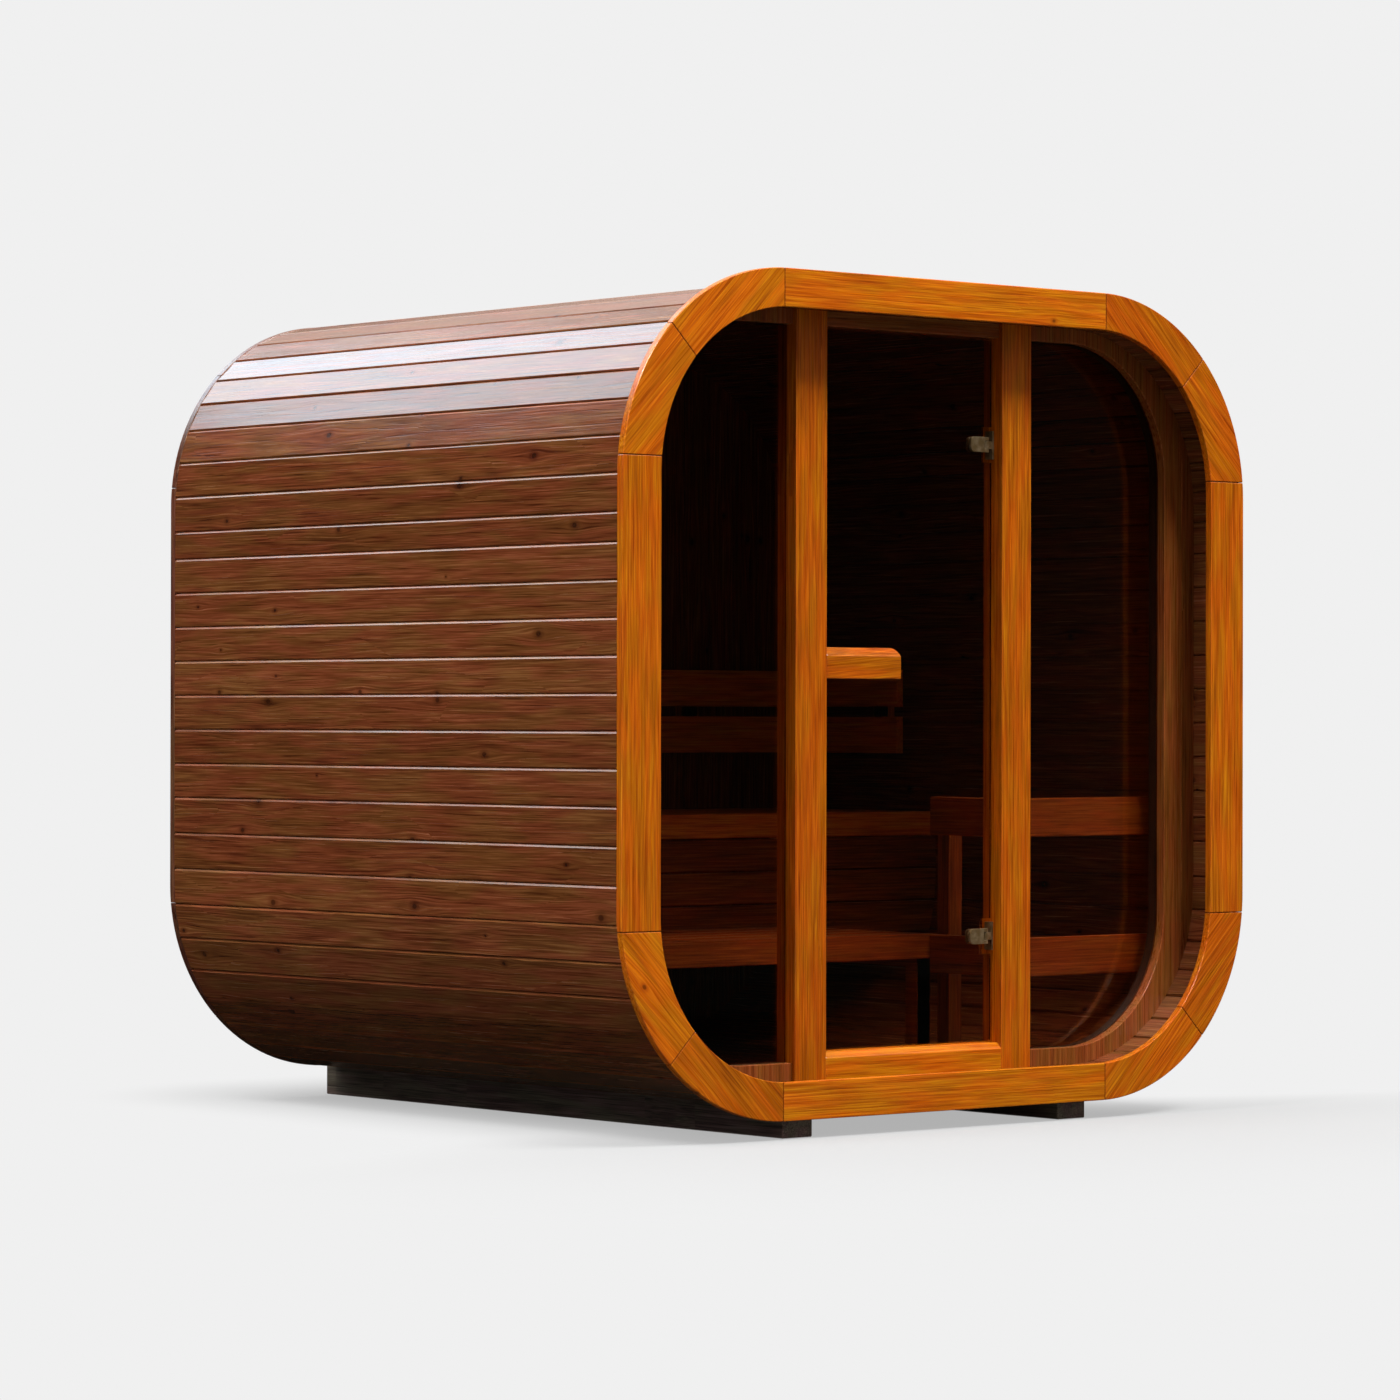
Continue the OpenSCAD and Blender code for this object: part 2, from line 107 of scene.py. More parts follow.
# Boards take their grain from places up to this far apart in one block of wood.
GRAIN_SPAN = 40

# Cosines between directions. A board is straight if its axes lie this nearly along the
# frame's, a face is a front or a back if it looks this nearly along Y, and it ends a straight
# member if it looks this nearly along the member. A curved member's end looks across the arm
# from its turning point, so there the cosine is less than END_ARM.
STRAIGHT = 0.995
FRONT_OR_BACK = 0.5
END_ALONG = 0.6
END_ARM = 0.5

# A face of a frame looks inwards if its pane's middle lies this far in front of it.
INWARD = 0.02


# Mesh helpers -------------------------------------------------------------------------

def middle_of(group):
    """The mean place of some vertices, coarse enough to sort by."""
    middle = sum((vert.co for vert in group), Vector()) / len(group)
    return tuple(round(c, 4) for c in middle)


def islands(bm):
    """Lists of the vertices of each connected solid."""
    left, found = set(bm.verts), []
    for start in bm.verts:
        if start not in left:
            continue
        left.remove(start)
        queue, group = [start], []
        while queue:
            vert = queue.pop()
            group.append(vert)
            for edge in vert.link_edges:
                other = edge.other_vert(vert)
                if other in left:
                    left.remove(other)
                    queue.append(other)
        found.append(group)
    return sorted(found, key=middle_of)


def board_axes(points):
    """Rows of a board's own axes: along its length, across its face, through its thickness."""
    centred = points - points.mean(0)
    low, high = points.min(0), points.max(0)
    spread = np.linalg.eigh(centred.T @ centred)[1].T[::-1]
    straight = np.abs(spread).max(1) > STRAIGHT
    if straight.all():
        order = np.argsort(high - low)[::-1]
        return np.eye(3)[order]
    return spread


def grain_shift():
    """A place of its own for a board in the block of wood."""
    return [chance.uniform(0, GRAIN_SPAN) for _ in range(3)]


def set_grain(bm, along=None, shade=None):
    """Gives each solid in the mesh its place in a board's own axes, and a shade of its own."""
    grain = bm.verts.layers.float_vector.new("grain")
    tone = bm.verts.layers.float.new("tone")
    for group in islands(bm):
        points = np.array([v.co for v in group])
        axes = board_axes(points)
        if along is not None:
            first, through = np.array(along, float), np.array((0.0, 1.0, 0.0))
            axes = np.array([first, np.cross(first, through), through])
        shift = np.array(grain_shift())
        own = chance.uniform(-1, 1)
        for vert, point in zip(group, points):
            vert[grain] = Vector(axes @ point + shift)
            vert[tone] = own if shade is None else shade


def stain_ends(bm, turn):
    """Marks the ends of each solid, where boards meet and oil soaks in, in the layer "seam".
    The ends of a curved one lie on planes through its turning point."""
    seam = bm.verts.layers.float.new("seam")
    bm.normal_update()

    def is_end(face, axis):
        if abs(face.normal.y) > FRONT_OR_BACK:
            return False
        if turn is None:
            return abs(face.normal.dot(axis)) > END_ALONG
        arm = face.calc_center_median() - Vector(turn)
        arm.y = 0
        return abs(face.normal.dot(arm.normalized())) < END_ARM

    for group in islands(bm):
        axis = Vector(board_axes(np.array([v.co for v in group]))[0])
        for vert in group:
            vert[seam] = float(any(is_end(face, axis) for face in vert.link_faces))


def levels(node, axis):
    """The distinct places along an axis where a CAD node has corners, lowest first."""
    values = sorted(v.co[axis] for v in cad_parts[node].data.vertices)
    found = values[:1]
    for value in values:
        if value - found[-1] > SAME_PLACE:
            found.append(value)
    return found


def cut_along(bm, place, normal):
    """Cuts the faces of a mesh along a plane and returns what the cut made."""
    geometry = bm.verts[:] + bm.edges[:] + bm.faces[:]
    made = bmesh.ops.bisect_plane(bm, geom=geometry, plane_co=place, plane_no=normal,
                                  dist=ON_PLANE)
    return made["geom_cut"]


def cut_apart(bm, place, normal):
    """Saws every solid that crosses a plane in two, with closed ends."""
    made = cut_along(bm, place, normal)
    bmesh.ops.split_edges(bm, edges=[e for e in made if isinstance(e, bmesh.types.BMEdge)])
    open_edges = [e for e in bm.edges if e.is_boundary]
    bmesh.ops.holes_fill(bm, edges=open_edges, sides=0)


def round_edges(bm, width):
    """Rounds the sharp edges and returns the faces that this makes."""
    sharp = [e for e in bm.edges
             if len(e.link_faces) == 2 and e.calc_face_angle(0) > ROUNDED_FROM]
    made = bmesh.ops.bevel(bm, geom=sharp, offset=width, offset_type="OFFSET",
                           segments=ROUND_SEGMENTS, profile=0.5, affect="EDGES",
                           clamp_overlap=True)
    return made["faces"]


def new_object(bm, name, materials):
    """Turns a bmesh into an object in the scene."""
    mesh = bpy.data.meshes.new(name)
    bm.to_mesh(mesh)
    bm.free()
    for material in materials:
        mesh.materials.append(material)
    made = bpy.data.objects.new(name, mesh)
    bpy.context.scene.collection.objects.link(made)
    return made


def finish_mesh(bm, name, body, materials, nodes):
    """Makes a piece from a bmesh: shading, materials, body and the CAD nodes it stands for."""
    bm.normal_update()
    bmesh.ops.recalc_face_normals(bm, faces=bm.faces)
    piece = new_object(bm, name, materials)
    piece.data.shade_smooth()
    piece.data.set_sharp_from_angle(angle=SHARP_FROM)
    weighted = piece.modifiers.new("weighted", "WEIGHTED_NORMAL")
    weighted.weight = 100
    weighted.keep_sharp = True
    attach(piece, body)
    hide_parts(*nodes)
    return piece


def node_mesh(node):
    """A CAD node's shape as a clean bmesh: welded, with its flat faces whole again."""
    bm = bmesh.new()
    bm.from_mesh(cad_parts[node].data)
    bmesh.ops.remove_doubles(bm, verts=bm.verts, dist=WELD)
    bmesh.ops.dissolve_limit(bm, angle_limit=STILL_FLAT, verts=bm.verts, edges=bm.edges)
    return bm


def finished(node, materials, body="cabin", cuts=(), rounding=WOOD_ROUND, along=None,
             stained=False, turn=None, shade=None):
    """A CAD node with its boards sawn apart, its edges eased and its grain laid out."""
    bm = node_mesh(node)
    for place, normal in cuts:
        cut_apart(bm, place, normal)
    # Rounded edges take the last material, which for wood is the paler edge wood: a painted
    # highlight.
    for face in round_edges(bm, rounding):
        face.material_index = len(materials) - 1
    if stained:
        stain_ends(bm, turn)
    set_grain(bm, along, shade)
    return finish_mesh(bm, "finished_" + node, body, materials, [node])


def darken_behind_glass(piece, pane):
    """Gives the faces of a frame that lie behind its pane, in the rebate, a near-black wood."""
    low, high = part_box(pane)
    middle = (low + high) / 2
    bm = bmesh.new()
    bm.from_mesh(piece.data)
    cut_along(bm, middle, (0, 1, 0))
    dark_slot = len(piece.data.materials)
    for face in bm.faces:
        centre = face.calc_center_median()
        inward = face.normal.x * (middle.x - centre.x) + face.normal.z * (middle.z - centre.z)
        if centre.y > middle.y and inward > INWARD:
            face.material_index = dark_slot
    bm.to_mesh(piece.data)
    bm.free()
    piece.data.materials.append(near_black_wood)


def prism_along_y(bm, outline, y0, y1):
    """A solid with an outline of (x, z) points between two planes across Y. Returns its
    vertices, and the faces along it in the outline's order."""
    front = [bm.verts.new((x, y0, z)) for x, z in outline]
    back = [bm.verts.new((x, y1, z)) for x, z in outline]
    count = len(outline)
    bm.faces.new(front)
    bm.faces.new(back[::-1])
    sides = []
    for i in range(count):
        j = (i + 1) % count
        sides.append(bm.faces.new((front[i], back[i], back[j], front[j])))
    return front + back, sides


# Material helpers ---------------------------------------------------------------------

class Graph:
    """The nodes of a material or of the world, added and linked with short calls."""

    def __init__(self, owner):
        owner.use_nodes = True
        self.owner = owner
        self.tree = owner.node_tree
        self.tree.nodes.clear()

    def node(self, kind, inputs=(), **settings):
        made = self.tree.nodes.new("ShaderNode" + kind)
        for key, value in settings.items():
            setattr(made, key, value)
        for key, value in dict(inputs).items():
            self.put(made.inputs[key], value)
        return made

    def put(self, socket, value):
        if isinstance(value, bpy.types.NodeSocket):
            self.tree.links.new(value, socket)
        else:
            socket.default_value = value

    def math(self, operation, *values, clamp=False):
        made = self.node("Math", enumerate(values), operation=operation, use_clamp=clamp)
        return made.outputs[0]

    def vector(self, operation, *values):
        made = self.node("VectorMath", enumerate(values), operation=operation)
        return made.outputs["Value" if operation == "LENGTH" else "Vector"]

    def parts(self, point):
        """The three parts of a vector."""
        return self.node("SeparateXYZ", {"Vector": point}).outputs

    def spread(self, value, gain, middle=0.5):
        """A value's distance from the middle of its range, times a gain."""
        return self.math("MULTIPLY", self.math("SUBTRACT", value, middle), gain)

    def smooth(self, value, low, high):
        """0 below low, 1 above high, with a soft step between; low may be above high."""
        made = self.node("MapRange", {"Value": value, "From Min": low, "From Max": high},
                         interpolation_type="SMOOTHSTEP")
        return made.outputs["Result"]

    def noise(self, point, rate, detail=2.0, roughness=0.5, output="Fac"):
        """A cloudy pattern with so many waves per metre along each axis."""
        scaled = self.vector("MULTIPLY", point, rate)
        made = self.node("TexNoise", {"Vector": scaled, "Scale": 1.0, "Detail": detail,
                                      "Roughness": roughness})
        return made.outputs[output]

    def blend(self, factor, first, second, kind="MIX"):
        """A mix of two colours, which the node takes in its sockets 6 and 7."""
        made = self.node("Mix", data_type="RGBA", blend_type=kind)
        self.put(made.inputs["Factor"], factor)
        self.put(made.inputs[6], first)
        self.put(made.inputs[7], second)
        return made.outputs[2]

    def ramp(self, value, stops):
        made = self.node("ValToRGB", {"Fac": value})
        elements = made.color_ramp.elements
        while len(elements) < len(stops):
            elements.new(0.5)
        for element, (place, colour) in zip(elements, stops):
            element.position = place
            element.color = (*colour, 1)
        return made.outputs["Color"]

    def shader_mix(self, factor, first, second):
        """The node that mixes two shaders: the first at a factor of 0, the second at 1."""
        return self.node("MixShader", {0: factor, 1: first.outputs[0], 2: second.outputs[0]})

    def finish(self, surface, output="OutputMaterial"):
        """Shows a shader and returns the material or the world."""
        self.tree.links.new(surface.outputs[0], self.node(output).inputs["Surface"])
        return self.owner


def new_graph(name):
    """The empty graph of a new material."""
    return Graph(bpy.data.materials.new(name))


def opaque(colour, gain=1.0):
    """A colour times a gain, as the four numbers that a colour socket takes."""
    return (*[c * gain for c in colour], 1)


# Wood ---------------------------------------------------------------------------------

# Waves per metre of each pattern in the wood: along, across and through the board.
SWAY_RATE = (0.9, 4, 4)
RING_RATE = (0.8, 9, 9)
STREAK_RATE = (3.2, 190, 190)
FIBRE_RATE = (7, 380, 380)
PORE_RATE = (5, 170, 170)
BLOTCH_RATE = (4.5, 26, 26)
HUE_RATE = (5, 30, 30)

# How far the fibres sway to the side, and how many growth rings a wave of their pattern holds.
SWAY_REACH = 0.014
RINGS = 11

# How much each pattern lightens or darkens the wood.
RING_GAIN = 0.05
STREAK_GAIN = 1.0
FIBRE_GAIN = 1.5
BLOTCH_GAIN = 0.42
TONE_GAIN = 0.09
PORE_GAIN = 0.22
HALO_GAIN = 0.16

# Knots: cells per metre that may hold one, how loosely they lie, a knot's least radius and
# how much larger it may be. Distances along the board count for less, so that a knot and the
# bend round it are longer than wide. The bend is so many radii wide, and the knot and its
# dark halo end softly between two distances in radii. A cell without a knot has a radius of
# NO_KNOT, which is there to divide by.
KNOT_CELLS = (3.1, 11.5)
KNOT_SCATTER = 0.9
KNOT_RADIUS = 0.003
KNOT_GROWTH = 0.006
NO_KNOT = 0.0001
KNOT_ALONG = 0.75
BEND_ALONG = 0.3
BEND_WIDTH = 2.2
KNOT_RIM = (1.1, 0.55)
HALO_RIM = (2.6, 0.9)

# Between which values of their patterns the pores and the drift of the hue come in.
PORE_RIM = (0.42, 0.30)
HUE_RIM = (0.35, 0.65)

# Where the shade ramp has its dark, middle and light stop, and what the hue drifts between.
SHADE_STOPS = (0.12, 0.5, 0.88)
REDDER = (1.07, 0.9, 0.92)
YELLOWER = (0.94, 1.08, 0.85)

# How much of a knot and of a stained end covers the wood, and how dark they are.
KNOT_COVER, KNOT_SHADE = 0.68, 0.4
SEAM_COVER, SEAM_SHADE = 0.6, 0.5

# How much the streaks roughen the wood, and how far streaks and fibres stand out over knots
# and pores. Rounded edges are smoother, and painted paler than their shade times a gain: a painted
# highlight.
ROUGHNESS_GAIN = 0.35
RELIEF = 0.35
RELIEF_DEPTH = 0.0012
STREAK_RELIEF = 0.7
FIBRE_RELIEF = 0.4
PORE_RELIEF = 0.25
EDGE_LIFT = 0.3
EDGE_HIGHLIGHT = 0.004

# Dark, middle and light shade of each wood.
SHADES = {
    "ring_wood": ((0.23, 0.039, 0.0002), (0.47, 0.102, 0.0005), (0.72, 0.22, 0.002)),
    "stave_wood": ((0.06, 0.013, 0.004), (0.158, 0.045, 0.014), (0.28, 0.1, 0.036)),
    "frame_wood": ((0.1, 0.022, 0.003), (0.225, 0.058, 0.01), (0.36, 0.115, 0.028)),
    "rear_ring_wood": ((0.04, 0.011, 0.006), (0.1, 0.032, 0.018), (0.18, 0.07, 0.035)),
    # The runner is painted paler than its near-black wood: painted light where it stands in shade.
    "runner_wood": ((0.07, 0.045, 0.04), (0.17, 0.115, 0.1), (0.27, 0.2, 0.18)),
    # The next three are one wood in lit and shaded copies: painted light on the upper bench, painted
    # shade on the rails and skirt.
    "bench_wood": ((0.4, 0.09, 0.007), (0.7, 0.2, 0.017), (0.86, 0.34, 0.045)),
    "shaded_rail_wood": ((0.13, 0.024, 0.0015), (0.27, 0.056, 0.004), (0.4, 0.115, 0.015)),
    "shaded_skirt_wood": ((0.1, 0.02, 0.0025), (0.2, 0.046, 0.0055), (0.32, 0.1, 0.016)),
    "near_black_wood": ((0.004, 0.002, 0.0015), (0.01, 0.005, 0.004), (0.02, 0.01, 0.008)),
}


def swaying_grain(g):
    """A point's place along, across and through its board, where the fibres sway slowly."""
    place = g.node("Attribute", attribute_name="grain").outputs["Vector"]
    sway = g.noise(place, SWAY_RATE, detail=1, output="Color")
    sway = g.vector("SUBTRACT", sway, (0.5, 0.5, 0.5))
    sway = g.vector("MULTIPLY", sway, (0, SWAY_REACH, SWAY_REACH))
    return g.vector("ADD", place, sway)


def knots(g, place, knot_share):
    """Knots in some cells of a loose pattern. Returns the place with the grain bent round
    them, how much a point is in a knot, and how much in the dark wood round one."""
    along, across = KNOT_CELLS
    flat = g.vector("MULTIPLY", place, (along, across, 0))
    cells = g.node("TexVoronoi", {"Vector": flat, "Scale": 1.0, "Randomness": KNOT_SCATTER},
                   voronoi_dimensions="2D").outputs
    away = g.vector("SUBTRACT", flat, cells["Position"])
    away = g.vector("MULTIPLY", away, (1 / along, 1 / across, 0))
    pick = g.node("SeparateColor", {"Color": cells["Color"]}).outputs
    there = g.math("LESS_THAN", pick[0], knot_share)
    size = g.math("MULTIPLY", g.math("MULTIPLY_ADD", pick[1], KNOT_GROWTH, KNOT_RADIUS), there)
    size = g.math("MAXIMUM", size, NO_KNOT)

    near = g.vector("LENGTH", g.vector("MULTIPLY", away, (KNOT_ALONG, 1, 0)))
    share = g.math("DIVIDE", near, size)
    knot = g.math("MULTIPLY", g.smooth(share, *KNOT_RIM), there)
    halo = g.math("MULTIPLY", g.smooth(share, *HALO_RIM), there)

    long_near = g.vector("LENGTH", g.vector("MULTIPLY", away, (BEND_ALONG, 1, 0)))
    reach = g.math("POWER", g.math("MULTIPLY", size, BEND_WIDTH), 2.0)
    pull = g.math("DIVIDE", reach, g.math("ADD", g.math("POWER", long_near, 2.0), reach))
    x, y, z = g.parts(place)
    y = g.math("SUBTRACT", y, g.math("MULTIPLY", g.parts(away)[1], pull))
    bent = g.node("CombineXYZ", {"X": x, "Y": y, "Z": z}).outputs[0]
    return bent, knot, halo


def wood(name, shades, knot_share=0.3, contrast=1.0, roughness=0.3, gloss=0.5, lift=1.0,
         sheen=(1, 1, 1)):
    """Oiled wood: long streaks, growth rings, fibres, knots that the grain flows round."""
    g = new_graph(name)
    dark = shades[0]
    tone = g.node("Attribute", attribute_name="tone").outputs["Fac"]
    seam = g.node("Attribute", attribute_name="seam").outputs["Fac"]
    flow, knot, halo = knots(g, swaying_grain(g), knot_share)

    # Growth rings, streaks, fibres, blotches and short dark pores make up the shade.
    body = g.noise(flow, RING_RATE, detail=2, roughness=0.55)
    ring = g.math("SINE", g.math("MULTIPLY", body, 2 * math.pi * RINGS))
    streak = g.noise(flow, STREAK_RATE, detail=3, roughness=0.62)
    fibre = g.noise(flow, FIBRE_RATE, detail=2, roughness=0.6)
    pore = g.smooth(g.noise(flow, PORE_RATE, detail=1), *PORE_RIM)
    blotch = g.noise(flow, BLOTCH_RATE, detail=3, roughness=0.6)
    shade = g.math("MULTIPLY_ADD", ring, RING_GAIN * contrast, 0.5)
    for pattern, gain in ((streak, STREAK_GAIN), (fibre, FIBRE_GAIN), (blotch, BLOTCH_GAIN)):
        shade = g.math("ADD", shade, g.spread(pattern, gain * contrast))
    shade = g.math("MULTIPLY_ADD", tone, TONE_GAIN, shade)
    shade = g.math("SUBTRACT", shade, g.math("MULTIPLY", pore, PORE_GAIN * contrast))
    shade = g.math("SUBTRACT", shade, g.math("MULTIPLY", halo, HALO_GAIN))

    # The shade picks the colour, whose hue drifts, and knots and stained ends lie over it.
    colour = g.ramp(shade, list(zip(SHADE_STOPS, shades)))
    redder = g.blend(1.0, colour, opaque(REDDER), "MULTIPLY")
    yellower = g.blend(1.0, colour, opaque(YELLOWER), "MULTIPLY")
    hue = g.noise(flow, HUE_RATE, detail=2)
    colour = g.blend(g.smooth(hue, *HUE_RIM), redder, yellower)
    colour = g.blend(g.math("MULTIPLY", knot, KNOT_COVER), colour, opaque(dark, KNOT_SHADE))
    colour = g.blend(g.math("MULTIPLY", seam, SEAM_COVER), colour, opaque(dark, SEAM_SHADE))

    rough = g.math("ADD", g.spread(streak, ROUGHNESS_GAIN), roughness, clamp=True)
    height = g.math("ADD", g.math("MULTIPLY", streak, STREAK_RELIEF),
                    g.math("MULTIPLY", fibre, FIBRE_RELIEF))
    hollow = g.math("MULTIPLY", g.math("ADD", knot, pore), PORE_RELIEF)
    bump = g.node("Bump", {"Height": g.math("SUBTRACT", height, hollow),
                           "Strength": RELIEF * lift, "Distance": RELIEF_DEPTH})
    return g.finish(g.node("BsdfPrincipled", {
        "Base Color": colour, "Roughness": rough, "Normal": bump.outputs[0],
        "Specular IOR Level": gloss, "Specular Tint": opaque(sheen)}))


def wood_pair(name, pale=1.2, edge_roughness=0.24, edge_gloss=0.7, edge_sheen=(1, 1, 1),
              **settings):
    """A wood, and the same wood for its rounded edges: smoother, glossier and painted paler, a
    painted highlight.
    """
    shades = SHADES[name]
    body = wood(name, shades, **settings)
    paler = [tuple(min(1, c * pale + EDGE_HIGHLIGHT) for c in shade) for shade in shades]
    settings.update(roughness=edge_roughness, gloss=edge_gloss, lift=EDGE_LIFT,
                    sheen=edge_sheen)
    return [body, wood(name + "_edge", paler, **settings)]


# Glass and metal ----------------------------------------------------------------------

# The panes' colour drifts between two tints, and lamps shine through it in a third, paler one.
GLASS_TINTS = ((0.52, 0.40, 0.33), (0.58, 0.45, 0.37))
GLASS_SHADOW = (0.77, 0.68, 0.62)
GLASS_IOR = 1.45
UNEVEN_RATE = (1.6, 1.6, 0.9)
SMEAR_RATE = (9, 9, 3)
SMEAR_RIM = (0.55, 0.8)
SMEAR_ROUGHNESS = 0.02

# The metal's brushed shade and its paler rubbed one, and the rates of both patterns.
METAL_SHADES = ((0.17, 0.105, 0.04), (0.28, 0.2, 0.11))
METAL_ROUGHNESS = 0.42
BRUSH_RATE = (90, 90, 2400)
RUB_RATE = (60, 60, 60)
RUB_RIM = (0.35, 0.7)


def tinted_glass():
    """Brown safety glass, a little uneven, that lets lamps through to what is behind it."""
    g = new_graph("tinted_glass")
    place = g.node("TexCoord").outputs["Object"]
    uneven = g.noise(place, UNEVEN_RATE, detail=1)
    smear = g.noise(place, SMEAR_RATE, detail=3)
    tint = g.blend(uneven, *[opaque(c) for c in GLASS_TINTS])
    rough = g.math("MULTIPLY", g.smooth(smear, *SMEAR_RIM), SMEAR_ROUGHNESS)
    bump = g.node("Bump", {"Height": uneven, "Strength": 0.05, "Distance": 0.004})
    pane = g.node("BsdfPrincipled", {
        "Base Color": tint, "Roughness": rough, "IOR": GLASS_IOR, "Transmission Weight": 1.0,
        "Normal": bump.outputs[0]})
    clear = g.node("BsdfTransparent", {"Color": opaque(GLASS_SHADOW)})
    rays = g.node("LightPath").outputs
    return g.finish(g.shader_mix(rays["Is Shadow Ray"], pane, clear))


def satin_metal():
    """Bronze-grey metal with a fine brushed finish and paler rubbed spots."""
    g = new_graph("hinge_metal")
    place = g.node("TexCoord").outputs["Object"]
    brushed = g.noise(place, BRUSH_RATE, detail=2)
    rubbed = g.noise(place, RUB_RATE, detail=3)
    colour = g.blend(g.smooth(rubbed, *RUB_RIM), *[opaque(c) for c in METAL_SHADES])
    rough = g.math("ADD", g.spread(brushed, 0.25), METAL_ROUGHNESS)
    bump = g.node("Bump", {"Height": brushed, "Strength": 0.12, "Distance": 0.0004})
    return g.finish(g.node("BsdfPrincipled", {
        "Base Color": colour, "Metallic": 0.55, "Roughness": rough,
        "Normal": bump.outputs[0]}))


ring_wood = wood_pair("ring_wood", knot_share=0.05, contrast=0.7, gloss=0.28)
stave_wood = wood_pair("stave_wood", knot_share=0.35, contrast=0.72, roughness=0.22, lift=0.7,
                       pale=1.3, edge_roughness=0.2, edge_gloss=0.42,
                       edge_sheen=(1, 0.72, 0.52))
frame_wood = wood_pair("frame_wood", knot_share=0.05, contrast=0.7, gloss=0.35)
rear_wood = wood_pair("rear_ring_wood", knot_share=0.1, edge_gloss=1.0)
# The runner's wood is painted paler than it is: painted light.
runner_wood = wood_pair("runner_wood", knot_share=0.2, roughness=0.6)
# One wood for the inside: a copy painted paler (painted light) and two painted darker (painted
# shade).
bench_wood = wood_pair("bench_wood", knot_share=0.05, roughness=0.4)
shaded_rail_wood = wood_pair("shaded_rail_wood", knot_share=0.05, roughness=0.4)
shaded_skirt_wood = wood_pair("shaded_skirt_wood", knot_share=0.05, roughness=0.4)
near_black_wood = wood("near_black_wood", SHADES["near_black_wood"], roughness=0.6)
glass = tinted_glass()
metal = satin_metal()


# The shell's staves -------------------------------------------------------------------

def shell_sizes():
    """The shell's own sizes, from the boxes of its CAD nodes."""
    wall_low, wall_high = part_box("wall_left")
    roof_low, roof_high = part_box("roof")
    return {
        "half": -wall_low.x, "thick": wall_high.x - wall_low.x,
        "low_turn": wall_low.z, "high_turn": wall_high.z,
        "front": wall_low.y, "back": wall_high.y,
        "flat": roof_high.x, "top": roof_high.z, "radius": roof_high.z - wall_high.z,
    }


shell = shell_sizes()


def girth_point(distance):
    """Point and outward normal in (x, z), a distance down the left side from the roof's flat."""
    arc = shell["radius"] * math.pi / 2
    straight = shell["high_turn"] - shell["low_turn"]
    if arc <= distance <= arc + straight:
        z = shell["high_turn"] - (distance - arc)
        return Vector((-shell["half"], z)), Vector((-1, 0))
    if distance < arc:
        angle, z = math.pi / 2 + distance / shell["radius"], shell["high_turn"]
    else:
        angle = math.pi + (distance - arc - straight) / shell["radius"]
        z = shell["low_turn"]
    normal = Vector((math.cos(angle), math.sin(angle)))
    return Vector((-shell["flat"], z)) + normal * shell["radius"], normal


def stave_outline(start, end, thick):
    """Section of a stave between two joints, each a (point, normal) on the shell's outside:
    chamfered edges, a tongue at its end and a groove at its start. The chamfer at its start
    closes the outline, and the one at its end is the second side."""
    (p0, n0), (p1, n1) = start, end
    q0, q1 = p0 - n0 * thick, p1 - n1 * thick
    out = (p1 - p0).normalized()
    inn = (q1 - q0).normalized()
    p0, p1 = p0 + out * JOINT_GAP, p1 - out * JOINT_GAP
    q0, q1 = q0 + inn * JOINT_GAP, q1 - inn * JOINT_GAP
    side0, side1 = (q0 - p0) / thick, (q1 - p1) / thick
    tongue = ((TONGUE_OUTER, 0), (TONGUE_OUTER, TONGUE), (TONGUE_INNER, TONGUE),
              (TONGUE_INNER, 0))
    groove = ((GROOVE_INNER, 0), (GROOVE_INNER, TONGUE + TONGUE_PLAY),
              (GROOVE_OUTER, TONGUE + TONGUE_PLAY), (GROOVE_OUTER, 0))
    return [
        p0 + out * CHAMFER,
        p1 - out * LOWER_CHAMFER,
        p1 + side1 * LOWER_CHAMFER,
        *[p1 + side1 * thick * depth + out * reach for depth, reach in tongue],
        q1 - side1 * INNER_CHAMFER,
        q1 - inn * INNER_CHAMFER,
        q0 + inn * INNER_CHAMFER,
        q0 - side0 * INNER_CHAMFER,
        *[p0 + side0 * thick * depth + out * reach for depth, reach in groove],
        p0 + side0 * CHAMFER_DEPTH,
    ]


def add_stave(bm, layers, start, end, mirror):
    """One stave from the front ring to the rear ring, with its own grain and shade."""
    grain, tone = layers
    sink = chance.uniform(0, DEEPEST_SINK)
    (p0, n0), (p1, n1) = start, end
    outline = stave_outline((p0 - n0 * sink, n0), (p1 - n1 * sink, n1), shell["thick"] - sink)
    if mirror:
        outline = [Vector((-p.x, p.y)) for p in outline]
    verts, sides = prism_along_y(bm, outline, shell["front"], shell["back"])
    # The chamfers take the paler edge wood: a painted highlight.
    sides[-1].material_index = sides[1].material_index = 1
    across = (outline[1] - outline[0]).normalized()
    through = Vector((-across.y, across.x))
    shift = Vector(grain_shift())
    shade = chance.uniform(-1, 1)
    for vert in verts:
        flat = Vector((vert.co.x, vert.co.z))
        vert[grain] = Vector((vert.co.y, flat.dot(across), flat.dot(through))) + shift
        vert[tone] = shade


def stave_group(name, joints, nodes, mirror=False):
    """The staves between a row of joints, as one piece that stands for some CAD nodes."""
    bm = bmesh.new()
    layers = (bm.verts.layers.float_vector.new("grain"), bm.verts.layers.float.new("tone"))
    for start, end in zip(joints, joints[1:]):
        add_stave(bm, layers, start, end, mirror)
    finish_mesh(bm, name, "cabin", stave_wood, nodes)


def add_side_staves(side, courses):
    """The staves down one side, spread so that their courses fill its girth."""
    girth = math.pi * shell["radius"] + shell["high_turn"] - shell["low_turn"]
    scale = girth / sum(count * width for count, width in courses)
    places = [0.0]
    for count, width in courses:
        for _ in range(count):
            places.append(places[-1] + width * scale)
    joints = [girth_point(min(place, girth)) for place in places]
    nodes = ["wall_" + side, "corner_top_" + side, "corner_bottom_" + side]
    stave_group("staves_" + side, joints, nodes, mirror=side == "right")


